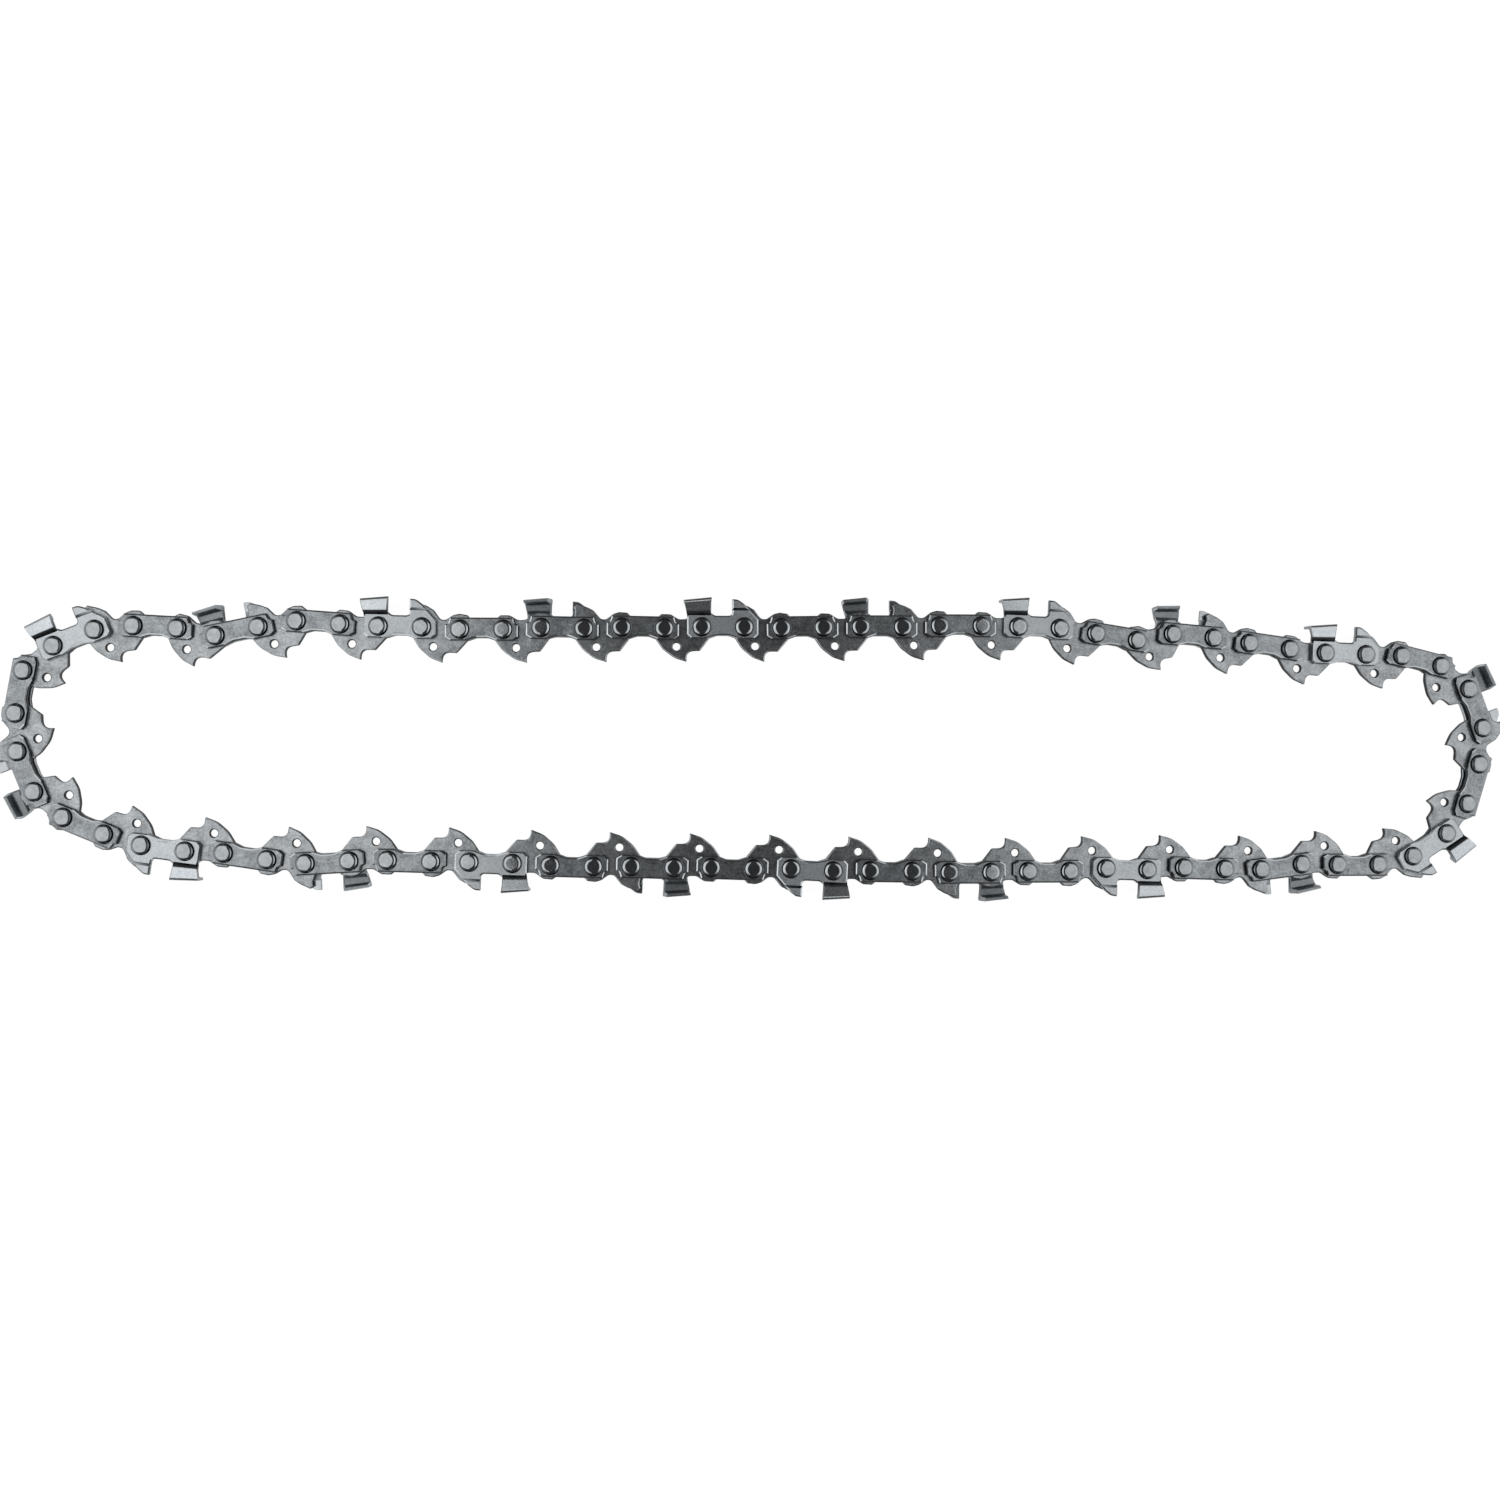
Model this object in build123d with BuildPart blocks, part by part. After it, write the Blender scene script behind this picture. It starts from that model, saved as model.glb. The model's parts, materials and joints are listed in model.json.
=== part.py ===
from build123d import *
import math
import os

# Chain size: low-profile saw chain, millimetres
side_spacing = 9.88  # rivet to rivet on cutters and tie straps
drive_spacing = 8.72  # rivet to rivet on drive links
gauge = 1.1  # drive link thickness, the width of the bar groove it runs in
plate_thickness = 1.15  # cutters and tie straps
side_play = 0.05  # between a drive link and the plates on either side

# Rivets: each hole and pin has this many flats, the pin's corners lie on its circle
round_sides = 6
rivet_radius = 1.75
rivet_clearance = 0.05
rivet_proud = 0.7  # head above the plate

# Tie strap, heights measured from the rivet line
strap_end = 3.5  # past each rivet
strap_top = 2.73
strap_bottom = 2.55
strap_waist = 0.7  # how far the lower edge arches up
strap_corner = 1.25

# Drive link
link_end = 3.2  # past each rivet
link_shoulder = 1.3
lobe_height = 3.25  # rear lobe
lobe_flat = 2.5
bumper_height = 5.85  # tall rear lobe of the link beside a depth gauge, at its rear end
bumper_nose = 4.3  # its height at its front end
bumper_behind = 1.95
bumper_ahead = 2.4
saddle_height = 2.05
saddle_flat = 1.4
crown_height = 3.65  # front lobe
crown_behind = 0.6
crown_ahead = 1.2
tang_depth = 7.9
tang_tip = 0.55  # ahead of the link's middle
tang_root = 2.15  # behind the rear rivet
tang_root_depth = 2.35
tang_bow = 0.9  # how far the tang's rear edge bulges
notch_bow = 0.5
heel_depth = 5.45
heel_behind = 2.4  # from the front rivet back to the notch
heel_flat = 1.85
toe_depth = 2.1
toe_ahead = 2.15  # past the front rivet
oil_hole_radius = 0.9
oil_hole_ahead = 2.7  # ahead of the rear rivet
oil_hole_depth = 4.35

# Cutter
cutter_rear = 3.4  # plate behind the rear rivet
cutter_front = 3.5  # plate ahead of the front rivet
cutter_bottom = 2.6
cutter_waist = 0.6
cutter_corner = 1.3
crease_height = 2.85  # where the top plate starts to lean out
top_plate_length = 6.2
top_plate_behind = 3.7  # its rear end, behind the rear rivet
top_plate_height = 6.8  # at the cutting edge
top_plate_relief = 0.6  # how much lower its rear end is
top_plate_thickness = 1.0
top_plate_reach = 1.5  # inner edge, past the middle of the chain
cutting_corner = 2.9  # outermost point, from the middle of the chain
corner_bevel = 0.5
gullet_width = 4.6
gullet_floor = 2.7
gullet_corner = 0.7
gauge_height = 6.3  # depth gauge top
gauge_nose = 1.2  # height of the depth gauge's front end
gauge_bow = 0.8

# The lie of the loop: one row for each cutter pitch, going round clockwise.
# Headings in degrees of the cutter link, drive link, strap link and drive link.
link_headings = [
    (22, 6, -3, -11),
    (12, 9, -4, -3),
    (-1, -3, 0, 3),
    (-1, 2, -1, 2),
    (0, -1, 1, 1),
    (0, 2, 0, -1),
    (-2, -8, -9, 10),
    (-5, -8, -8, -6),
    (-2, -2, -14, -39),
    (-70, -96, -107, -126),
    (-147, -167, -180, -181),
    (-173, -181, -182, -177),
    (-182, -176, -180, -179),
    (-180, -182, -181, -180),
    (-183, -180, -182, -180),
    (-182, -180, -182, -183),
    (-182, -181, -182, -179),
    (-177, -186, -189, -183),
    (-188, -197, -203, -222),
    (-248, -267, -280, -320),
]
links_per_pitch = len(link_headings[0])
closing_rounds = 6

# Levels above and below the middle of the chain
half_gauge = gauge / 2
plate_inner = half_gauge + side_play
plate_outer = plate_inner + plate_thickness
rivet_end = plate_outer + rivet_proud
mid_height = max(cutting_corner, rivet_end)

pin_sides = {"radius": rivet_radius, "side_count": round_sides}
bore_sides = {"radius": rivet_radius + rivet_clearance, "side_count": round_sides, "major_radius": False}


def bowed(start, end, bow, count=1):
    """Points between two places on a curve that bulges to the left of the way by the bow given."""
    run = (end[0] - start[0], end[1] - start[1])
    length = math.hypot(*run)
    points = []
    for step in range(1, count + 1):
        share = step / (count + 1)
        rise = 4 * share * (1 - share) * bow / length
        x = start[0] + share * run[0] - rise * run[1]
        y = start[1] + share * run[1] + rise * run[0]
        points.append((x, y))
    return points


def lay_rivets():
    """Rivet places and link headings, each link turned by the least that closes the loop."""
    headings = [math.radians(angle) for row in link_headings for angle in row]
    lengths = [side_spacing, drive_spacing] * (len(headings) // 2)
    for _ in range(closing_rounds):
        steps = [(l * math.cos(h), l * math.sin(h)) for l, h in zip(lengths, headings)]
        gap_x = sum(x for x, y in steps)
        gap_y = sum(y for x, y in steps)
        xx = sum(x * x for x, y in steps)
        yy = sum(y * y for x, y in steps)
        xy = sum(x * y for x, y in steps)
        scale = xx * yy - xy * xy
        pull_x = (xx * gap_x + xy * gap_y) / scale
        pull_y = (yy * gap_y + xy * gap_x) / scale
        headings = [h + y * pull_x - x * pull_y for h, (x, y) in zip(headings, steps)]
    places = [(0.0, 0.0)]
    for length, heading in zip(lengths, headings):
        x, y = places[-1]
        places.append((x + length * math.cos(heading), y + length * math.sin(heading)))
    return places[:-1], headings


# Tie strap: a flat plate with a waisted lower edge
strap_outline = [
    (-strap_end, strap_corner - strap_bottom),
    (strap_corner - strap_end, -strap_bottom),
    (side_spacing / 2, strap_waist - strap_bottom),
    (side_spacing + strap_end - strap_corner, -strap_bottom),
    (side_spacing + strap_end, strap_corner - strap_bottom),
    (side_spacing + strap_end, strap_top - strap_corner),
    (side_spacing + strap_end - strap_corner, strap_top),
    (strap_corner - strap_end, strap_top),
    (-strap_end, strap_top - strap_corner),
]
side_rivets = [(0, 0), (side_spacing, 0)]
drive_rivets = [(0, 0), (drive_spacing, 0)]

with BuildPart() as tie_strap:
    with BuildSketch(Plane.XY.offset(plate_inner)):
        with BuildLine():
            Polyline(*strap_outline, close=True)
        make_face()
        with Locations(*side_rivets):
            RegularPolygon(**bore_sides, mode=Mode.SUBTRACT)
    extrude(amount=plate_thickness)

# Tie strap with its two rivets set in it, on the lower side of the chain
with BuildPart() as riveted_strap:
    with BuildSketch(Plane.XY.offset(-plate_outer)):
        with BuildLine():
            Polyline(*strap_outline, close=True)
        make_face()
    extrude(amount=plate_thickness)
    with BuildSketch(Plane.XY.offset(-rivet_end)):
        with Locations(*side_rivets):
            RegularPolygon(**pin_sides)
    extrude(amount=2 * rivet_end)

with BuildPart() as riveted_strap_above:
    add(riveted_strap.part.mirror(Plane.XY))

# Drive link: two lobes with a saddle between them above, a hooked tang below
link_middle = drive_spacing / 2
saddle_rear = link_middle - saddle_flat / 2
tang_point = (link_middle + tang_tip, -tang_depth)
tang_start = (-tang_root, -tang_root_depth)
heel_rear = (drive_spacing - heel_behind, -heel_depth)
front_outline = [
    (saddle_rear, saddle_height),
    (saddle_rear + saddle_flat, saddle_height),
    (drive_spacing - crown_behind, crown_height),
    (drive_spacing + crown_ahead, crown_height),
    (drive_spacing + link_end, link_shoulder),
    (drive_spacing + toe_ahead, -toe_depth),
]
tang_outline = [
    (heel_rear[0] + heel_flat, -heel_depth),
    heel_rear,
    *bowed(heel_rear, tang_point, -notch_bow),
    tang_point,
    *bowed(tang_point, tang_start, tang_bow, 2),
    tang_start,
    (-link_end, link_shoulder),
]
rear_lobe = [(-lobe_flat / 2, lobe_height), (lobe_flat / 2, lobe_height)]
bumper_lobe = [(-bumper_behind, bumper_height), (bumper_ahead, bumper_nose)]


def drive_link_solid(lobe):
    """A drive link whose rear lobe has the outline given."""
    with BuildPart() as link:
        with BuildSketch(Plane.XY.offset(-half_gauge)):
            with BuildLine():
                Polyline(*lobe, *front_outline, *tang_outline, close=True)
            make_face()
            with Locations(*drive_rivets):
                RegularPolygon(**bore_sides, mode=Mode.SUBTRACT)
            with Locations((oil_hole_ahead, -oil_hole_depth)):
                RegularPolygon(oil_hole_radius, round_sides, mode=Mode.SUBTRACT)
        extrude(amount=gauge)
    return link.part


drive_link = drive_link_solid(rear_lobe)
bumper_link = drive_link_solid(bumper_lobe)

# Cutter: plate with gullet and depth gauge, and a top plate that leans out, then folds inwards
cutter_nose = side_spacing + cutter_front
top_plate_front = top_plate_length - top_plate_behind
gauge_rear = top_plate_front + gullet_width
gauge_top = (gauge_rear, gauge_height)
nose_top = (cutter_nose, gauge_nose)
cutter_outline = [
    (-cutter_rear, cutter_corner - cutter_bottom),
    (cutter_corner - cutter_rear, -cutter_bottom),
    (side_spacing / 2, cutter_waist - cutter_bottom),
    (cutter_nose - cutter_corner, -cutter_bottom),
    (cutter_nose, cutter_corner - cutter_bottom),
    nose_top,
    *bowed(nose_top, gauge_top, -gauge_bow),
    gauge_top,
    (gauge_rear, gullet_floor + gullet_corner),
    (gauge_rear - gullet_corner, gullet_floor),
    (top_plate_front + gullet_corner, gullet_floor),
    (top_plate_front, crease_height),
    (-top_plate_behind, crease_height),
]
lean = cutting_corner - plate_inner
fold = top_plate_height - top_plate_relief - crease_height
inner_edge = -plate_inner - top_plate_reach
top_section = [
    (-top_plate_relief, 0),
    (-top_plate_relief, plate_thickness),
    (0, plate_thickness),
    (fold - corner_bevel, lean),
    (fold, lean - corner_bevel),
    (fold, inner_edge),
    (fold - top_plate_thickness, inner_edge),
    (fold - top_plate_thickness, plate_thickness - corner_bevel),
]
top_plate_rear = Plane((-top_plate_behind, crease_height, plate_inner), x_dir=(0, 1, 0), z_dir=(1, 0, 0))
top_plate_run = (top_plate_length, top_plate_relief, 0)

with BuildPart() as right_cutter:
    with BuildSketch(Plane.XY.offset(plate_inner)):
        with BuildLine():
            Polyline(*cutter_outline, close=True)
        make_face()
        with Locations(*side_rivets):
            RegularPolygon(**bore_sides, mode=Mode.SUBTRACT)
    extrude(amount=plate_thickness)
    with BuildSketch(top_plate_rear):
        with BuildLine():
            Polyline(*top_section, close=True)
        make_face()
    extrude(amount=math.hypot(*top_plate_run), dir=top_plate_run)

with BuildPart() as left_cutter:
    add(right_cutter.part.mirror(Plane.XY))

# Every piece of the loop: node name, solid and the link it belongs to
cutters = {"right": right_cutter.part, "left": left_cutter.part}
facing_straps = {"right": riveted_strap.part, "left": riveted_strap_above.part}
pieces = {}
for pitch in range(len(link_headings)):
    number = f"{pitch + 1:02d}"
    first = pitch * links_per_pitch
    hand = ("right", "left")[pitch % 2]
    pieces[f"{hand}_cutter_{number}"] = [(cutters[hand], first)]
    pieces[f"drive_links_{number}"] = [(bumper_link, first + 1), (drive_link, first + 3)]
    pieces[f"tie_straps_{number}"] = [
        (facing_straps[hand], first),
        (tie_strap.part, first + 2),
        (riveted_strap.part, first + 2),
    ]

# The loop's box stands on the origin
rivets, headings = lay_rivets()


def link_place(link, shift=(0, 0)):
    """Where a link lies: its rear rivet at the origin and its front rivet along X."""
    x, y = rivets[link]
    return Location((x - shift[0], y - shift[1], mid_height), (0, 0, math.degrees(headings[link])))


loop = Compound([solid.moved(link_place(link)) for group in pieces.values() for solid, link in group])
loop_centre = loop.bounding_box().center()

os.makedirs("parts", exist_ok=True)
for name, group in pieces.items():
    with BuildPart() as node:
        for solid, link in group:
            with Locations(link_place(link, (loop_centre.X, loop_centre.Y))):
                add(solid)
    node.part.label = name
    export_step(node.part, f"parts/{name}.step")
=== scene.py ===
import json
import math

import bpy
import numpy as np
from mathutils.geometry import tessellate_polygon
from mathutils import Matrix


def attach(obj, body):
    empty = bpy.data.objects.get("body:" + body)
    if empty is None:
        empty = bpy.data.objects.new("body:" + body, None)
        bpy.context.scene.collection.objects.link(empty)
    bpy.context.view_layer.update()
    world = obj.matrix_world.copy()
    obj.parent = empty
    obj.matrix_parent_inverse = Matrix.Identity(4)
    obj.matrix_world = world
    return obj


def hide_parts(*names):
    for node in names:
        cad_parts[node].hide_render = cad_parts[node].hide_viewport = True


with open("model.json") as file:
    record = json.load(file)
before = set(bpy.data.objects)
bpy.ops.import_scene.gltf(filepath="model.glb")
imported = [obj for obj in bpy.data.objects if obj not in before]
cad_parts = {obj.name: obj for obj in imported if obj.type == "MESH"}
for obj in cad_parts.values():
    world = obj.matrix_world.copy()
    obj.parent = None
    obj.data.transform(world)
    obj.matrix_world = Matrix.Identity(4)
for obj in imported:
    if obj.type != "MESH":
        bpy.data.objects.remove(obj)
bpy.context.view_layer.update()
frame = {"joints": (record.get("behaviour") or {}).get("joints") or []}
mm = 0.001  # sizes below are in millimetres


# The chain's lie on the table: link lengths, levels and the heading of every link going round clockwise
chain = {
    "sideSpacing": 9.88,
    "driveSpacing": 8.72,
    "midHeight": 2.9,
    "halfGauge": 0.55,
    "plateInner": 0.60,
    "plateOuter": 1.75,
    "closingRounds": 6,
    "headings": [  # cutter link, drive link, strap link, drive link
        (22, 6, -3, -11),
        (12, 9, -4, -3),
        (-1, -3, 0, 3),
        (-1, 2, -1, 2),
        (0, -1, 1, 1),
        (0, 2, 0, -1),
        (-2, -8, -9, 10),
        (-5, -8, -8, -6),
        (-2, -2, -14, -39),
        (-70, -96, -107, -126),
        (-147, -167, -180, -181),
        (-173, -181, -182, -177),
        (-182, -176, -180, -179),
        (-180, -182, -181, -180),
        (-183, -180, -182, -180),
        (-182, -180, -182, -183),
        (-182, -181, -182, -179),
        (-177, -186, -189, -183),
        (-188, -197, -203, -222),
        (-248, -267, -280, -320),
    ],
}
linksEach = len(chain["headings"][0])  # links in a section


# Each link is a step of its length along its heading; all headings give way by the least that
# brings the last step back to the first rivet, and the frame's leading pivot says where the loop lies
def layChain(c):
    headings = np.radians(np.array(c["headings"], float)).ravel()
    lengths = np.tile([c["sideSpacing"], c["driveSpacing"]], len(headings) // 2)
    for _ in range(c["closingRounds"]):
        step = lengths[:, None] * np.stack([np.cos(headings), np.sin(headings)], 1)
        gap = step.sum(0)
        (xx, xy), (_, yy) = step.T @ step
        pull = np.array([xx * gap[0] + xy * gap[1], yy * gap[1] + xy * gap[0]]) / (xx * yy - xy * xy)
        headings = headings + step[:, 1] * pull[0] - step[:, 0] * pull[1]
    step = lengths[:, None] * np.stack([np.cos(headings), np.sin(headings)], 1)
    rivets = np.cumsum(step, 0) - step
    leading = frame["joints"][0]  # its pivot is the rear rivet of its section's cutter
    anchor = linksEach * (int(leading["child"].split("_")[-1]) - 1)
    return rivets + np.array(leading["pos_m"][:2]) / mm - rivets[anchor], headings


rivets, headings = layChain(chain)
print("chain laid:", len(rivets), "rivets")


# A shape is its points and the oil and painted shade at each, its four-sided and three-sided faces, and
# the finish
# of each face: a place in the piece's own list of materials, where straps and cutters differ from 3 on
finishOf = {"face": 0, "bare": 1, "rim": 2, "spun": 3, "paintedHighlight": 3, "drawn": 4}


# Several shapes made one: each one's faces are counted on from the points before it
def joined(shapes):
    starts = np.cumsum([0] + [len(s["points"]) for s in shapes])
    return {
        "points": np.vstack([s["points"] for s in shapes]),
        "oilAndShade": np.concatenate([s["oilAndShade"] for s in shapes]),
        "quads": np.vstack([s["quads"] + n for s, n in zip(shapes, starts)]),
        "tris": np.vstack([s["tris"] + n for s, n in zip(shapes, starts)]),
        "quadFinish": np.concatenate([s["quadFinish"] for s in shapes]),
        "triFinish": np.concatenate([s["triFinish"] for s in shapes]),
    }


# Mirrored through the middle plane of the chain, faces turned so that they still point outwards
def mirrored(shape):
    return {
        **shape,
        "points": shape["points"] * (1, 1, -1),
        "quads": shape["quads"][:, ::-1],
        "tris": shape["tris"][:, ::-1],
    }


# Set on a link: turned to its heading about the rear rivet and lifted to the middle of the chain
def placed(shape, link):
    c, s = math.cos(headings[link]), math.sin(headings[link])
    turn = np.array([[c, s, 0], [-s, c, 0], [0, 0, 1]])
    return {**shape, "points": shape["points"] @ turn + (*rivets[link], chain["midHeight"])}


curveSteps = {"plate": 7, "fold": 5, "line": 3}  # points on each rounded corner
curveShare = 0.97  # the most of a side that the curves at its two ends take up
leastRadius = 0.03  # of a corner that has been moved in
roundSides = 28  # points round a bore or a rivet
leastArea = 1e-9  # slivers below it are left out


# Every corner (x, y, radius) becomes a parabola that leaves its two sides where a circle of that
# radius would
def rounded(corners, steps):
    corners = np.array(corners, float)
    p, radius = corners[:, :2], corners[:, 2]
    back, ahead = np.roll(p, 1, 0) - p, np.roll(p, -1, 0) - p
    backLength, aheadLength = np.linalg.norm(back, axis=1), np.linalg.norm(ahead, axis=1)
    back, ahead = back / backLength[:, None], ahead / aheadLength[:, None]
    opening = np.arccos(np.clip((back * ahead).sum(1), -1, 1))
    cut = radius / np.tan(opening / 2)
    backShare, aheadShare = cut / (cut + np.roll(cut, 1)), cut / (cut + np.roll(cut, -1))
    most = curveShare * np.minimum(backLength * backShare, aheadLength * aheadShare)
    cut = np.minimum(cut, most)[:, None, None]
    t = np.linspace(0, 1, steps)[None, :, None]
    p, back, ahead = p[:, None], back[:, None], ahead[:, None]
    return (p + back * cut * (1 - t) ** 2 + ahead * cut * t**2).reshape(-1, 2)


# A ring of points at equal turns about a centre
def circle(x, y, radius):
    turn = np.arange(roundSides) * 2 * np.pi / roundSides
    return np.stack([x + radius * np.cos(turn), y + radius * np.sin(turn)], 1)


# Corners moved in from their sides: each side shifts to its left by the depth times its breadth, and a
# corner's radius shrinks where the way turns left and grows where it turns right
def inset(corners, depth, breadth=1.0):
    corners = np.array(corners, float)
    p, radius = corners[:, :2], corners[:, 2]
    along = np.roll(p, -1, 0) - p
    left = np.stack([-along[:, 1], along[:, 0]], 1) / np.linalg.norm(along, axis=1)[:, None]
    reach = (left * p).sum(1) + depth * breadth
    before, beforeReach = np.roll(left, 1, 0), np.roll(reach, 1)
    turning = before[:, 0] * left[:, 1] - before[:, 1] * left[:, 0]
    x = (beforeReach * left[:, 1] - reach * before[:, 1]) / turning
    y = (before[:, 0] * reach - left[:, 0] * beforeReach) / turning
    return np.column_stack([x, y, np.maximum(radius - depth * np.sign(turning), leastRadius)])


# Loops set at their heights, one ring of points for each
def stacked(loops, heights):
    loops = np.array(loops)
    level = np.broadcast_to(np.array(heights)[:, None, None], (*loops.shape[:2], 1))
    return np.concatenate([loops, level], -1)


# Faces between neighbouring rings, each ring closed on itself
def ringFaces(ringCount, size, start=0):
    ring, place = np.meshgrid(np.arange(ringCount - 1), np.arange(size), indexing="ij")
    ring, place, following = ring.ravel() * size, place.ravel(), (place.ravel() + 1) % size
    corners = [ring + place, ring + size + place, ring + size + following, ring + following]
    return start + np.stack(corners, 1)


# Flat faces that fill a loop and leave its holes open, all turned to face up or down
def filled(loops, starts, up):
    flat = np.vstack(loops)
    numbers = np.concatenate([start + np.arange(len(loop)) for loop, start in zip(loops, starts)])
    level = [np.pad(loop, ((0, 0), (0, 1))).tolist() for loop in loops]  # all at height 0
    tris = np.array(tessellate_polygon(level))
    a, b, c = flat[tris[:, 0]], flat[tris[:, 1]], flat[tris[:, 2]]
    area = (b[:, 0] - a[:, 0]) * (c[:, 1] - a[:, 1]) - (b[:, 1] - a[:, 1]) * (c[:, 0] - a[:, 0])
    tris[(area > 0) != up] = tris[(area > 0) != up][:, ::-1]
    return numbers[tris[np.abs(area) > leastArea]]


# Blanked edges: the face rolls over in a soft slope, then drops at a lip; the cut wall behind is rough
plateEdge = {"slope": 0.36, "slopeDrop": 0.11, "lip": 0.08, "lipDrop": 0.34, "back": 0.14}
linkEdge = {"slope": 0.27, "slopeDrop": 0.08, "lip": 0.07, "lipDrop": 0.26, "back": 0.1}
boreEdge = {"slope": 0.22, "slopeDrop": 0.08, "lip": 0.07, "lipDrop": 0.2, "back": 0.1}
boreOilAndShade = (0.0, 1.0)  # dark oil and painted shade in the gap round a bore: where its slope starts and at its lip
lineEnds = np.array([1, 4, 1, 4])  # a pressed line runs out slowly at its two ends
lineCorner = 0.05  # radius at its corners
lineWall = 0.43  # of its width, how far each wall slopes in


# An edge from the face round to the back, as depths in from the outline and heights
def edgeSection(edge, back, face):
    section = [
        (edge["slope"], face),
        (edge["lip"], face - edge["slopeDrop"]),
        (0, face - edge["lipDrop"]),
        (0, back + edge["back"]),
        (edge["back"], back),
    ]
    return zip(*section)


# Breadth of the rim along each side of an outline, times a plain one: the sides that are named differ
def rimBreadth(corners, sides, breadth):
    share = np.ones(len(corners))
    share[list(sides)] = breadth
    return share


# A stamped plate between two heights: its outline and bores follow the edge section inwards, pressed
# lines go into its face, and flat faces fill what is left
def plate(
    corners, bores, lines, back, face,
    rim=plateEdge, rimFinish="rim", backFinish="face", breadth=1.0, oilAndShade=0.0,
):
    depths, heights = edgeSection(rim, back, face)
    boreDepths, boreHeights = edgeSection(boreEdge, back, face)
    walls = [finishOf[name] for name in (rimFinish, "bare", "bare", "face")]  # from the rim to the back
    outlines = [rounded(inset(corners, d, breadth), curveSteps["plate"]) for d in depths]
    stacks = [stacked(outlines, heights)]
    for x, y, radius in bores:
        stacks.append(stacked([circle(x, y, radius + d)[::-1] for d in boreDepths], boreHeights))
    for loop, slope, depth in lines:
        loops = [rounded(inset(loop, d, lineEnds), curveSteps["line"])[::-1] for d in (0, slope)]
        stacks.append(stacked(loops, (face, face - depth)))
    sizes = [stack.shape[1] for stack in stacks]
    starts = np.cumsum([0] + [stack.shape[0] * stack.shape[1] for stack in stacks])
    quads, quadFinish, tris, triFinish, bottoms, bottomStarts = [], [], [], [], [], []
    for stack, size, start in zip(stacks, sizes, starts):
        quads.append(ringFaces(len(stack), size, start))
        lower, lowerStart = stack[-1][:, :2], start + (len(stack) - 1) * size
        if len(stack) == 2:  # a pressed line is closed by its floor
            quadFinish.append(np.full(size, finishOf["face"]))
            tris.append(filled([lower], [lowerStart], True))
            triFinish.append(finishOf["face"])
        else:
            quadFinish.append(np.repeat(walls, size))
            bottoms.append(lower)
            bottomStarts.append(lowerStart)
    tris.append(filled([stack[0][:, :2] for stack in stacks], starts, True))
    tris.append(filled(bottoms, bottomStarts, False))
    triFinish += [finishOf["face"], finishOf[backFinish]]
    # Oil and painted shade at each point: along the outline's first two rings, and round each bore
    oilAndShadeLevels = np.zeros(starts[-1])
    oilAndShadeLevels[: 2 * sizes[0]] = np.tile(np.broadcast_to(oilAndShade, sizes[0]), 2)
    for start, size in zip(starts[1 : 1 + len(bores)], sizes[1:]):
        oilAndShadeLevels[start : start + 2 * size] = np.repeat(boreOilAndShade, size)
    return {
        "points": np.vstack([stack.reshape(-1, 3) for stack in stacks]),
        "oilAndShade": oilAndShadeLevels,
        "quads": np.vstack(quads),
        "tris": np.vstack(tris),
        "quadFinish": np.concatenate(quadFinish),
        "triFinish": np.repeat(triFinish, [len(t) for t in tris]),
    }


# A shallow pressed line: the corners of a narrow loop, how far its walls slope in and how deep they go
def pressedLine(start, end, height, width, depth):
    low, high = height - width / 2, height + width / 2
    corners = [(start, low), (end, low), (end, high), (start, high)]
    return [(x, y, lineCorner) for x, y in corners], lineWall * width, depth


# A turned piece: a profile of (radius, height) spun about an upright axis, with a fan at each end
def turned(profile, x, y, finish):
    count = roundSides
    profile = np.array(profile, float)
    rings = stacked([circle(x, y, radius) for radius in profile[1:-1, 0]], profile[1:-1, 1])
    points = np.vstack([rings.reshape(-1, 3), [[x, y, profile[0, 1]], [x, y, profile[-1, 1]]]])
    place = np.arange(count)
    following = (place + 1) % count
    last = (len(rings) - 1) * count
    top = np.stack([np.full(count, last + count), place, following], 1)
    bottom = np.stack([np.full(count, last + count + 1), last + following, last + place], 1)
    quads = ringFaces(len(rings), count)
    return {
        "points": points,
        "oilAndShade": np.zeros(len(points)),
        "quads": quads,
        "tris": np.vstack([top, bottom]),
        "quadFinish": np.full(len(quads), finishOf[finish]),
        "triFinish": np.full(2 * count, finishOf[finish]),
    }


# Rivet: spun head with a flat disc and a shoulder that curls over to its rim, on a straight shank
rivet = {
    "proud": 0.95,
    "flat": 1.36,
    "flatRing": 0.96,  # of the flat, a ring that keeps its edge crisp
    "shoulder": 0.60,
    "lean": (13, 18, 23, 27, 32),  # how far the shoulder leans over, degrees, from the flat to the rim
    "curl": 0.5,  # of its height above the plate, how far down the rim curls
    "shank": 1.99,
    "shankRing": 0.3,  # height of the shank's last ring
    "hole": 2.08,
}


# Its profile is the flat, equal steps outwards that each drop by their lean, and a drop to the shank
def rivetShape(x):
    top = chain["plateOuter"] + rivet["proud"]
    out = np.full(len(rivet["lean"]), rivet["shoulder"] / len(rivet["lean"]))
    drop = out * np.tan(np.radians(rivet["lean"]))
    shoulder = np.stack([rivet["flat"] + np.cumsum(out), top - np.cumsum(drop)], 1)
    disc = [(0, top), (rivet["flatRing"] * rivet["flat"], top), (rivet["flat"], top)]
    rim = [(rivet["shank"], top - rivet["curl"] * rivet["proud"]), (rivet["shank"], rivet["shankRing"])]
    upper = np.array(disc + shoulder.tolist() + rim)
    return turned(np.vstack([upper, upper[::-1] * (1, -1)]), x, 0, "spun")


sideBores = [(0, 0, rivet["hole"]), (chain["sideSpacing"], 0, rivet["hole"])]

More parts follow.
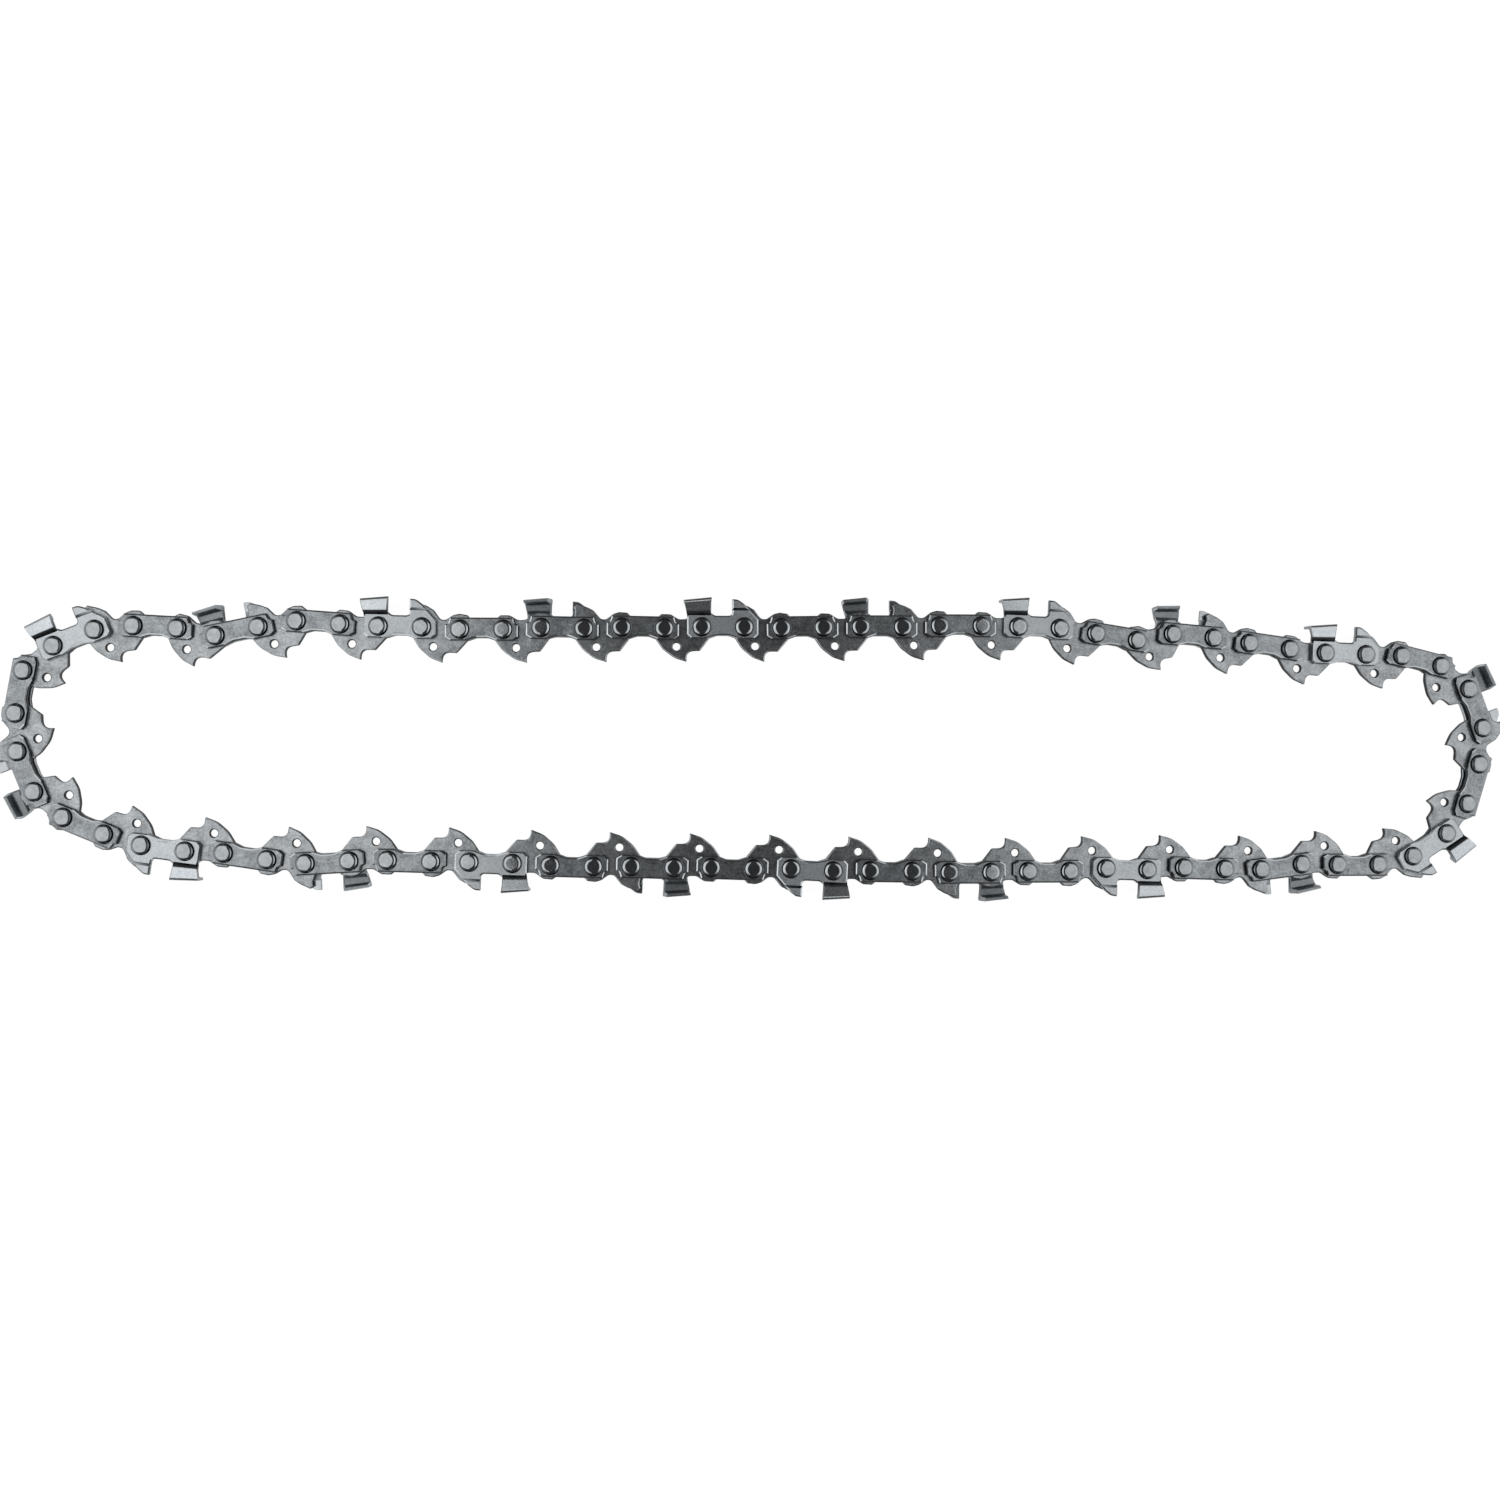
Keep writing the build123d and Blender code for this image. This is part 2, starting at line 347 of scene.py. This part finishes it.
# Tie strap: waisted lower edge, bitten upper corners and three pressed lines
strap = {
    "outline": [
        (-3.5, -1.85, 0.2),
        (-2.4, -2.55, 0.35),
        (1.7, -2.55, 2.5),
        (3.6, -1.87, 2.5),
        (6.3, -1.87, 2.5),
        (8.2, -2.55, 2.5),
        (12.28, -2.55, 0.35),
        (13.38, -1.85, 0.2),
        (13.38, 1.05, 0.2),
        (12.6, 1.35, 0.9),
        (12.2, 2.72, 0.25),
        (-2.32, 2.72, 0.25),
        (-2.72, 1.35, 0.9),
        (-3.5, 1.05, 0.2),
    ],
    "lines": [(2.75, 7.15, 0.72), (2.75, 7.15, -0.80), (3.4, 6.5, -1.25)],  # from, to, height
    "lineWidth": 0.36,
    "lineDepth": 0.04,
    "narrowSides": (1, 5),  # sides below the rivets
    "narrowRim": 0.55,  # and their rim, times a plain one
}
strapShape = plate(
    strap["outline"],
    sideBores,
    [pressedLine(*line, strap["lineWidth"], strap["lineDepth"]) for line in strap["lines"]],
    chain["plateInner"],
    chain["plateOuter"],
    breadth=rimBreadth(strap["outline"], strap["narrowSides"], strap["narrowRim"]),
)

# Drive link: two lobes and a saddle above, the hooked tang with its oil hole below
driveLink = {
    "tang": [
        (-3.15, -0.4, 1.0),
        (-2.15, -2.37, 2.0),
        (-0.55, -4.8, 5.0),
        (2.1, -6.95, 5.0),
        (4.95, -7.9, 0.15),
        (4.95, -5.45, 1.8),
        (8.13, -5.45, 0.5),
        (10.8, -2.18, 2.0),
        (12.0, 0.0, 1.4),
        (11.3, 2.2, 0.8),
        (10.15, 3.45, 0.4),
        (8.3, 3.68, 1.6),
        (6.9, 3.3, 2.0),
        (5.2, 2.05, 1.6),
    ],
    "plainLobe": [(3.5, 2.05, 1.6), (1.6, 3.3, 1.6), (-0.55, 3.42, 0.5), (-1.7, 2.5, 0.8)],
    "bumper": [
        (4.0, 2.08, 1.4),
        (2.35, 4.2, 0.9),
        (0.8, 5.05, 3.0),
        (-1.5, 5.82, 0.25),
        (-2.2, 5.15, 0.3),
        (-1.9, 4.2, 1.6),
        (-2.2, 2.9, 0.8),
    ],
    "rearEnd": [(-2.6, 1.6, 0.8)],
    "oilHole": (2.7, -4.33, 0.90),
    # faint line at the foot of the straps: from, to, height, width, depth
    "step": (2.6, 6.2, -2.55, 0.30, 0.02),
}


# Its outline runs from the tang round the front lobe to the rear lobe, plain or tall, and the rear end
def driveShape(lobe):
    return plate(
        driveLink["tang"] + driveLink[lobe] + driveLink["rearEnd"],
        [driveLink["oilHole"]],
        [pressedLine(*driveLink["step"])],
        -chain["halfGauge"],
        chain["halfGauge"],
        rim=linkEdge,
        rimFinish="face",
    )


plainLink, bumperLink = driveShape("plainLobe"), driveShape("bumper")

# Cutter: flat body with the gullet, a depth gauge bent out from it, and the top plate folded over
# the chain
cutter = {
    "body": [
        (-3.45, -1.75, 0.25),
        (-2.6, -2.55, 0.35),
        (1.2, -2.62, 2.5),
        (3.4, -2.02, 3.0),
        (6.6, -2.02, 3.0),
        (8.6, -2.68, 2.5),
        (12.3, -2.6, 0.6),
        (13.25, -1.8, 0.3),
        (13.25, 1.75, 0.3),
        (10.98, 4.20, 0.15),
        (7.10, 4.20, 0.12),
        (7.10, 2.65, 0.95),
        (2.95, 2.65, 1.6),
        (2.25, 3.3, 0.12),
        (-3.3, 3.25, 0.12),
        (-3.3, 2.55, 0.15),
        (-3.45, 2.1, 0.15),
    ],
    "narrowSides": (1, 5),  # as on the strap
    "narrowRim": 0.55,
    "line": (3.5, 6.6, -1.45, 0.30, 0.06),  # from, to, height, width, depth
    "gauge": [
        (7.05, 3.85, 0.1),
        (11.3, 3.85, 0.1),
        (10.0, 5.3, 2.5),
        (8.5, 6.4, 2.0),
        (7.05, 6.5, 0.2),
    ],
    "gaugeOut": 0.30,  # how far the gauge is bent out from the body
    "gaugeFoot": 1.6,  # breadth of the bend along the gauge's foot, times a plain rim
    # Painted shade in the bend along the gauge's foot, darkest towards its rear end
    "footShade": (1.0, 0.35),  # at its rear and front end
    # across the folded sheet: height above the rivets and distance from the middle of the chain
    "fold": [
        (2.3, 1.70, 0.05),
        (2.66, 1.73, 0.1),
        (3.60, 2.56, 0.6),
        (5.75, 2.80, 0.34),
        (6.27, 2.52, 0.15),
        (6.42, 1.7, 0.2),
        (6.42, -1.45, 0.15),
        (5.67, -1.45, 0.2),
        (5.52, 1.30, 0.6),
        (4.0, 1.45, 0.5),
        (3.1, 0.72, 0.4),
        (2.3, 0.65, 0.05),
    ],
    "foldRear": (-3.35, -4.25),  # at the crease and at the top
    "foldFront": (2.2, 2.45),
    "foldFoot": 2.7,
    "top": 6.42,
    "rise": 0.58,  # cutting edge above the rear end
    "filed": 0.28,  # how fast the cutting edge falls back across the top plate
    "filedFrom": 2.2,  # distance from the middle of the chain at which it starts to
    "foldEdge": 0.12,
    "insideCorners": 5,  # the last corners of the fold are its bare inside
    "ridge": 3,  # the fold's outermost corner, where a painted highlight runs along it
    "hollow": 0.35,  # the file leaves the cutting edge hollow
    # Painted shade along the crease at the foot of the fold and up the bend above it
    "creaseShade": (0.7, 1.0),  # at the end of the bend above the crease, and along the crease
}


# Folded sheet: its cross-section is carried forward from a slanted rear end to the filed cutting
# edge, rising with the way along and with the height above the crease
def foldedSheet(c):
    steps = curveSteps["fold"]
    section = rounded(c["fold"], steps)[::-1]
    narrow = rounded(inset(c["fold"], -c["foldEdge"]), steps)[::-1]
    loops = np.array([narrow, section, section, narrow])
    height, outwards = loops[..., 0], loops[..., 1]
    share = np.clip((height - c["foldFoot"]) / (c["top"] - c["foldFoot"]), 0, 1)
    rear = c["foldRear"][0] + (c["foldRear"][1] - c["foldRear"][0]) * share
    front = c["foldFront"][0] + (c["foldFront"][1] - c["foldFront"][0]) * share
    front = front - c["filed"] * np.maximum(c["filedFrom"] - outwards, 0) * share
    front = front - c["hollow"] * 4 * share * (1 - share)
    along = np.array([0.0, 0.0, 1.0, 1.0])[:, None]
    edge = np.array([0.0, 1.0, -1.0, 0.0])[:, None] * c["foldEdge"]
    x = rear + (front - rear) * along + edge
    y = height + c["rise"] * share * (x - c["foldRear"][0]) / (c["foldFront"][0] - c["foldRear"][0])
    points = np.stack([x, y, outwards], -1)
    size = len(section)
    sheet = np.full(size, finishOf["drawn"])
    sheet[: c["insideCorners"] * steps] = finishOf["bare"]
    # A painted highlight along the fold's outermost corner
    ridge = size - (c["ridge"] + 1) * steps
    sheet[ridge : ridge + steps - 1] = finishOf["paintedHighlight"]
    # Painted shade: the three corners nearest the crease darken, from the bend above down into the
    # crease
    bend, crease = c["creaseShade"]
    oilAndShade = np.zeros(size)
    oilAndShade[-3 * steps :] = np.concatenate([np.linspace(0, bend, steps), np.full(2 * steps, crease)])
    rearEdge, cuttingEdge = np.full(size, finishOf["rim"]), np.full(size, finishOf["bare"])
    tris = np.vstack([filled([narrow], [0], False), filled([narrow], [3 * size], True)])
    return {
        "points": points.reshape(-1, 3),
        "oilAndShade": np.tile(oilAndShade, len(loops)),
        "quads": ringFaces(len(loops), size)[:, ::-1],
        "tris": tris,
        "quadFinish": np.concatenate([rearEdge, sheet, cuttingEdge]),
        "triFinish": np.full(len(tris), finishOf["bare"]),
    }


# Painted shade along the rim at the gauge's foot, fading out past its rear and front corners
footShade = np.zeros((len(cutter["gauge"]), curveSteps["plate"]))  # a row for each corner of the gauge
footShade[0] = np.linspace(0, cutter["footShade"][0], curveSteps["plate"])
footShade[1] = np.linspace(cutter["footShade"][1], 0, curveSteps["plate"])
nearCutter = joined(
    [
        plate(
            cutter["body"],
            sideBores,
            [pressedLine(*cutter["line"])],
            chain["plateInner"],
            chain["plateOuter"],
            backFinish="bare",
            breadth=rimBreadth(cutter["body"], cutter["narrowSides"], cutter["narrowRim"]),
        ),
        plate(
            cutter["gauge"],
            [],
            [],
            chain["plateInner"] + cutter["gaugeOut"],
            chain["plateOuter"] + cutter["gaugeOut"],
            backFinish="rim",
            breadth=rimBreadth(cutter["gauge"], (0,), cutter["gaugeFoot"]),
            oilAndShade=footShade.ravel(),
        ),
        foldedSheet(cutter),
    ]
)
farCutter, farStrap = mirrored(nearCutter), mirrored(strapShape)
linkRivets = joined([rivetShape(0), rivetShape(chain["sideSpacing"])])
print("plates worked out:", len(nearCutter["points"]), "points in a cutter")


# sRGB hex to the linear colour that shaders take
def colour(code):
    srgb = np.array([int(code[i : i + 2], 16) for i in (1, 3, 5)]) / 255
    linear = np.where(srgb <= 0.04045, srgb / 12.92, ((srgb + 0.055) / 1.055) ** 2.4)
    return (*linear.tolist(), 1.0)


# One node with its settings, and its inputs set or linked by name or number
def addNode(tree, kind, settings=None, **inputs):
    node = tree.nodes.new(kind)
    for name, value in (settings or {}).items():
        setattr(node, name, value)
    for name, value in inputs.items():
        socket = node.inputs[int(name[1:]) if name[1:].isdigit() else name.replace("_", " ")]
        if isinstance(value, bpy.types.NodeSocket):
            tree.links.new(value, socket)
        else:
            socket.default_value = value
    return node


# A material with an empty tree of nodes
def newMaterial(name):
    material = bpy.data.materials.new(name)
    material.use_nodes = True
    material.node_tree.nodes.clear()
    return material, material.node_tree


mottling = {"darkAt": 0.3, "lightAt": 0.7, "pitFade": 0.06}  # on the noise's own scale of 0 to 1


# Metal with a speckled and mottled tone, small dark pits, a dark colour where the oil-and-shade mask is
# set (oil and painted shade round the bores, painted shade in creases and bends), and a grain over slow
# waves in the rolled surface
def steel(name, m):
    material, tree = newMaterial(name)
    oilAndShade = addNode(tree, "ShaderNodeAttribute", {"attribute_name": "oilAndShade"}).outputs["Fac"]
    place = addNode(tree, "ShaderNodeTexCoord").outputs["Object"]
    grain = addNode(tree, "ShaderNodeTexNoise", Vector=place, Scale=1 / (m["grain"] * mm), Detail=2.0)
    blotch = addNode(tree, "ShaderNodeTexNoise", Vector=place, Scale=1 / (m["blotch"] * mm), Detail=3.0)
    wave = addNode(tree, "ShaderNodeTexNoise", Vector=place, Scale=1 / (m["wave"] * mm), Detail=0.0)
    pits = addNode(tree, "ShaderNodeTexNoise", Vector=place, Scale=1 / (m["pit"] * mm), Detail=1.0)
    mottle = addNode(
        tree, "ShaderNodeMix", {"data_type": "FLOAT"},
        i0=m["speckle"], i2=blotch.outputs["Fac"], i3=grain.outputs["Fac"],
    )
    tone = addNode(tree, "ShaderNodeValToRGB", Fac=mottle.outputs[0])
    dark, light = tone.color_ramp.elements
    dark.position, light.position = mottling["darkAt"], mottling["lightAt"]
    dark.color, light.color = colour(m["dark"]), colour(m["light"])
    pitted = addNode(tree, "ShaderNodeValToRGB", Fac=pits.outputs["Fac"])
    clear, pit = pitted.color_ramp.elements
    clear.position, pit.position = m["pitFrom"], m["pitFrom"] + mottling["pitFade"]
    clear.color, pit.color = (1, 1, 1, 1), (0, 0, 0, 1)
    mixed = addNode(
        tree, "ShaderNodeMix", {"data_type": "RGBA", "blend_type": "MULTIPLY"},
        i0=m["pitDepth"], i6=tone.outputs["Color"], i7=pitted.outputs["Color"],
    )
    # Darkened where the oil-and-shade mask is set: oil and painted shade round the bores, painted shade
    # in the creases and bends
    oilAndShaded = addNode(
        tree, "ShaderNodeMix", {"data_type": "RGBA"}, i0=oilAndShade, i6=mixed.outputs[2], i7=colour(m["oilAndShadeTone"])
    )
    gloss = addNode(
        tree, "ShaderNodeMapRange", Value=grain.outputs["Fac"],
        To_Min=m["roughness"] - m["roughSpread"], To_Max=m["roughness"] + m["roughSpread"],
    )
    waves = addNode(
        tree, "ShaderNodeBump", Strength=m["waveStrength"], Distance=m["waveHeight"] * mm,
        Height=wave.outputs["Fac"],
    )
    fine = addNode(
        tree, "ShaderNodeBump", Strength=m["grainStrength"], Distance=m["grainHeight"] * mm,
        Height=grain.outputs["Fac"], Normal=waves.outputs["Normal"],
    )
    shader = addNode(
        tree, "ShaderNodeBsdfPrincipled", Base_Color=oilAndShaded.outputs[2], Metallic=1.0,
        Roughness=gloss.outputs["Result"], Normal=fine.outputs["Normal"],
    )
    addNode(tree, "ShaderNodeOutputMaterial", Surface=shader.outputs["BSDF"])
    return material


# Sizes of grain, blotches, waves and pits are in millimetres. Real grain and pits are a few hundredths
# across, too fine to show from here, so they are drawn as coarse as this

# Stamped carbon steel, barrel finished: grey, a little oily, speckled with handling marks
stampedSteel = {
    "dark": "#66696D", "light": "#AEB3B6", "oilAndShadeTone": "#202325", "speckle": 0.5,
    "grain": 0.45, "blotch": 2.5, "wave": 7.0, "pit": 0.5,
    "pitFrom": 0.70, "pitDepth": 0.6, "roughness": 0.33, "roughSpread": 0.06,
    "waveStrength": 0.5, "waveHeight": 0.10, "grainStrength": 0.5, "grainHeight": 0.05,
}
# The same steel on the drive links, rubbed brighter in the bar's groove
rubbedSteel = {**stampedSteel, "dark": "#74787B", "light": "#B8BCBF", "roughness": 0.30}
# Industrial hard chrome over the cutter: bright, satin, hardly marked
hardChrome = {
    "dark": "#A6ACB0", "light": "#CDD1D4", "oilAndShadeTone": "#2E3234", "speckle": 0.8,
    "grain": 0.3, "blotch": 4.0, "wave": 9.0, "pit": 0.5,
    "pitFrom": 0.76, "pitDepth": 0.4, "roughness": 0.42, "roughSpread": 0.05,
    "waveStrength": 0.4, "waveHeight": 0.08, "grainStrength": 0.2, "grainHeight": 0.02,
}
# The same coat where the die drew it smooth over the fold: glossier than the flat body
drawnChrome = {
    **hardChrome, "dark": "#ADB3B8", "light": "#D5DADD", "oilAndShadeTone": "#1C1F21",
    "roughness": 0.25, "roughSpread": 0.04,
}
# Spun rivet ends: smoother steel with the tool's faint marks
spunSteel = {
    "dark": "#8E9295", "light": "#AFB3B6", "oilAndShadeTone": "#202325", "speckle": 0.4,
    "grain": 0.4, "blotch": 1.2, "wave": 2.5, "pit": 0.4,
    "pitFrom": 0.72, "pitDepth": 0.5, "roughness": 0.13, "roughSpread": 0.03,
    "waveStrength": 0.1, "waveHeight": 0.04, "grainStrength": 0.25, "grainHeight": 0.02,
}
# Sheared walls of the plates: torn and dull, and coloured near black as painted shade for the gaps
# round and between the plates
shearedShadedSteel = {
    "dark": "#1B1D1F", "light": "#303436", "oilAndShadeTone": "#141617", "speckle": 0.4,
    "grain": 0.3, "blotch": 1.5, "wave": 5.0, "pit": 0.6,
    "pitFrom": 0.7, "pitDepth": 0.5, "roughness": 0.5, "roughSpread": 0.08,
    "waveStrength": 0.2, "waveHeight": 0.05, "grainStrength": 0.4, "grainHeight": 0.05,
}
# Inside of the cutter, left as it was stamped under thin oil: dull and darker than the faces
oiledSteel = {
    **stampedSteel, "dark": "#757A7D", "light": "#999DA0", "speckle": 0.6,
    "pitDepth": 0.5, "roughness": 0.42,
}
# Rims of the plates, tumbled smooth: brighter and glossier than the faces
tumbledSteel = {
    "dark": "#A2A6A9", "light": "#C4C8CB", "oilAndShadeTone": "#2E3234", "speckle": 0.4,
    "grain": 0.4, "blotch": 2.0, "wave": 5.0, "pit": 0.4,
    "pitFrom": 0.74, "pitDepth": 0.4, "roughness": 0.17, "roughSpread": 0.05,
    "waveStrength": 0.3, "waveHeight": 0.05, "grainStrength": 0.2, "grainHeight": 0.02,
}
# Painted highlight along the outer corner of the top plate: near-white rough chrome that gathers light
# from every side
ridgeHighlightChrome = {
    "dark": "#DEE2E5", "light": "#FAFBFC", "oilAndShadeTone": "#2E3234", "speckle": 0.5,
    "grain": 0.3, "blotch": 2.0, "wave": 5.0, "pit": 0.4,
    "pitFrom": 0.76, "pitDepth": 0.4, "roughness": 0.7, "roughSpread": 0.08,
    "waveStrength": 0.3, "waveHeight": 0.05, "grainStrength": 0.4, "grainHeight": 0.03,
}
stampedMaterial = steel("stampedCarbonSteel", stampedSteel)
rubbedMaterial = steel("rubbedCarbonSteel", rubbedSteel)
chromeMaterial = steel("satinHardChrome", hardChrome)
spunMaterial = steel("spunRivetSteel", spunSteel)
# Near-black lips and walls of straps and drive links: painted shade
shearedShadedMaterial = steel("shearedSteelEdgeShaded", shearedShadedSteel)
oiledMaterial = steel("oiledCarbonSteel", oiledSteel)
tumbledMaterial = steel("tumbledSteelRim", tumbledSteel)
# Near-white corner of the fold: a painted highlight
ridgeHighlightMaterial = steel("paintedHighlightCorner", ridgeHighlightChrome)
drawnMaterial = steel("drawnHardChrome", drawnChrome)
print("finishes made")


crispAngle = 18  # degrees; edges that turn more stay crisp


# A mesh object in metres: walls and rims shade smoothly up to their crisp edges, filled faces are flat
def meshObject(name, shape, materials):
    mesh = bpy.data.meshes.new(name)
    faces = shape["quads"].tolist() + shape["tris"].tolist()
    mesh.from_pydata((shape["points"] * mm).tolist(), [], faces)
    for material in materials:
        mesh.materials.append(material)
    finish = np.concatenate([shape["quadFinish"], shape["triFinish"]])
    mesh.polygons.foreach_set("material_index", finish)
    oilAndShade = mesh.attributes.new("oilAndShade", "FLOAT", "POINT")
    oilAndShade.data.foreach_set("value", shape["oilAndShade"])
    mesh.set_sharp_from_angle(angle=math.radians(crispAngle))
    smooth = np.repeat([True, False], [len(shape["quads"]), len(shape["tris"])])
    mesh.polygons.foreach_set("use_smooth", smooth)
    mesh.update()
    piece = bpy.data.objects.new(name, mesh)
    bpy.context.scene.collection.objects.link(piece)
    return piece


# The second finish of straps and drive links, on their lips and walls, is the near-black steel of
# painted shade
strapFinishes = [stampedMaterial, shearedShadedMaterial, tumbledMaterial, spunMaterial]
linkFinishes = [rubbedMaterial, shearedShadedMaterial]
cutterFinishes = [chromeMaterial, oiledMaterial, tumbledMaterial, ridgeHighlightMaterial, drawnMaterial]

# Four links to a section: cutter, drive link, tie straps, drive link; cutters stand on the near and
# far side by turns
for number in range(1, len(chain["headings"]) + 1):
    body = f"section_{number:02d}"
    first = linksEach * (number - 1)
    near = number % 2 == 1
    cutterNode = f"{'right' if near else 'left'}_cutter_{number:02d}"
    cutterPiece = meshObject(
        f"cutter{number:02d}",
        placed(nearCutter if near else farCutter, first),
        cutterFinishes,
    )
    drivePiece = meshObject(
        f"driveLinks{number:02d}",
        joined([placed(bumperLink, first + 1), placed(plainLink, first + 3)]),
        linkFinishes,
    )
    strapPiece = meshObject(
        f"tieStraps{number:02d}",
        joined(
            [
                placed(farStrap if near else strapShape, first),
                placed(linkRivets, first),
                placed(strapShape, first + 2),
                placed(farStrap, first + 2),
                placed(linkRivets, first + 2),
            ]
        ),
        strapFinishes,
    )
    for piece, node, slot in (
        (cutterPiece, cutterNode, "cutter_chrome"),
        (drivePiece, f"drive_links_{number:02d}", "drive_steel"),
        (strapPiece, f"tie_straps_{number:02d}", "strap_steel"),
    ):
        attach(piece, body)
        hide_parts(node)
print("links placed")


# White table: plain white to the eye and in the metal, with the shadow left faintly on it
table = {"size": 3000, "paper": "#616161", "white": "#FFFFFF", "glow": 0.96}


# A square sheet; what is seen of it is grey paper with a white glow, and other light meets plain white
def tableTop(t):
    half = t["size"] / 2 * mm
    mesh = bpy.data.meshes.new("tableTop")
    corners = [(-half, -half, 0), (half, -half, 0), (half, half, 0), (-half, half, 0)]
    mesh.from_pydata(corners, [], [(0, 1, 2, 3)])
    material, tree = newMaterial("whitePaper")
    light = addNode(tree, "ShaderNodeLightPath")
    seen = addNode(
        tree, "ShaderNodeMath", {"operation": "MAXIMUM"},
        i0=light.outputs["Is Camera Ray"], i1=light.outputs["Is Glossy Ray"],
    )
    seen = addNode(
        tree, "ShaderNodeMath", {"operation": "MAXIMUM"},
        i0=seen.outputs[0], i1=light.outputs["Is Transmission Ray"],
    )
    paper = addNode(tree, "ShaderNodeBsdfDiffuse", Color=colour(t["paper"]))
    white = addNode(tree, "ShaderNodeBsdfDiffuse", Color=colour(t["white"]))
    glow = addNode(tree, "ShaderNodeEmission", Color=colour(t["white"]), Strength=t["glow"])
    lit = addNode(tree, "ShaderNodeAddShader", i0=paper.outputs["BSDF"], i1=glow.outputs["Emission"])
    mixed = addNode(
        tree, "ShaderNodeMixShader",
        i0=seen.outputs[0], i1=white.outputs["BSDF"], i2=lit.outputs["Shader"],
    )
    addNode(tree, "ShaderNodeOutputMaterial", Surface=mixed.outputs["Shader"])
    mesh.materials.append(material)
    top = bpy.data.objects.new("tableTop", mesh)
    bpy.context.scene.collection.objects.link(top)


tableTop(table)

# Two soft boxes over the ends of the chain, with a dark gap above its middle
softBoxes = {
    "height": 250,
    "width": 320,
    "length": 460,
    "innerEdge": {"softBoxLeft": -88, "softBoxRight": 102},
    "radiance": {"softBoxLeft": 1.16, "softBoxRight": 0.96},
}


# An area lamp that faces down, outwards of its inner edge; its power is radiance times pi times area
def softBox(name, s):
    lamp = bpy.data.lights.new(name, "AREA")
    lamp.shape = "RECTANGLE"
    lamp.size, lamp.size_y = s["width"] * mm, s["length"] * mm
    lamp.energy = s["radiance"][name] * math.pi * lamp.size * lamp.size_y
    centre = s["innerEdge"][name] + math.copysign(s["width"] / 2, s["innerEdge"][name])
    box = bpy.data.objects.new(name, lamp)
    box.location = (centre * mm, 0, s["height"] * mm)
    box.visible_camera = False
    bpy.context.scene.collection.objects.link(box)


for name in softBoxes["innerEdge"]:
    softBox(name, softBoxes)

# Room: dark overhead and to the front and back, light towards the sides and low down near the table,
# white where the camera sees it
room = {
    "dark": 0.06,
    "side": 0.7,
    "sideFrom": 0.35,
    "sideTo": 0.95,
    "low": 0.6,
    "lowFrom": 0.12,
    "lowTo": 0.38,
}
world = bpy.data.worlds.new("room")
bpy.context.scene.world = world
world.use_nodes = True
tree = world.node_tree
tree.nodes.clear()
direction = addNode(tree, "ShaderNodeTexCoord").outputs["Generated"]
across = addNode(tree, "ShaderNodeSeparateXYZ", Vector=direction)
sideways = addNode(tree, "ShaderNodeMath", {"operation": "ABSOLUTE"}, i0=across.outputs["X"])
level = addNode(
    tree, "ShaderNodeMapRange", {"interpolation_type": "SMOOTHSTEP"}, Value=sideways.outputs[0],
    From_Min=room["sideFrom"], From_Max=room["sideTo"], To_Min=room["dark"], To_Max=room["side"],
)
low = addNode(
    tree, "ShaderNodeMapRange", {"interpolation_type": "SMOOTHSTEP"}, Value=across.outputs["Z"],
    From_Min=room["lowFrom"], From_Max=room["lowTo"], To_Min=room["low"], To_Max=0.0,
)
level = addNode(
    tree, "ShaderNodeMath", {"operation": "MAXIMUM"},
    i0=level.outputs["Result"], i1=low.outputs["Result"],
)
seen = addNode(tree, "ShaderNodeLightPath").outputs["Is Camera Ray"]
strength = addNode(tree, "ShaderNodeMix", {"data_type": "FLOAT"}, i0=seen, i2=level.outputs[0], i3=1.0)
background = addNode(tree, "ShaderNodeBackground", Color=(1, 1, 1, 1), Strength=strength.outputs[0])
addNode(tree, "ShaderNodeOutputWorld", Surface=background.outputs["Background"])

# Camera almost straight above the loop, a little left of its middle
view = {
    "place": (-23.3, -4.0, 358.4),
    "turn": (0.63, -3.04, -0.05),  # degrees
    "lens": 36.55,
    "sensor": 36.0,
    "clip": (0.01, 20),  # metres
}
lens = bpy.data.cameras.new("camera")
lens.sensor_width, lens.lens = view["sensor"], view["lens"]
lens.clip_start, lens.clip_end = view["clip"]
camera = bpy.data.objects.new("camera", lens)
camera.location = [v * mm for v in view["place"]]
camera.rotation_euler = [math.radians(v) for v in view["turn"]]
bpy.context.scene.collection.objects.link(camera)
bpy.context.scene.camera = camera
bpy.context.scene.view_settings.view_transform = "Standard"
print("table, lights and camera set")
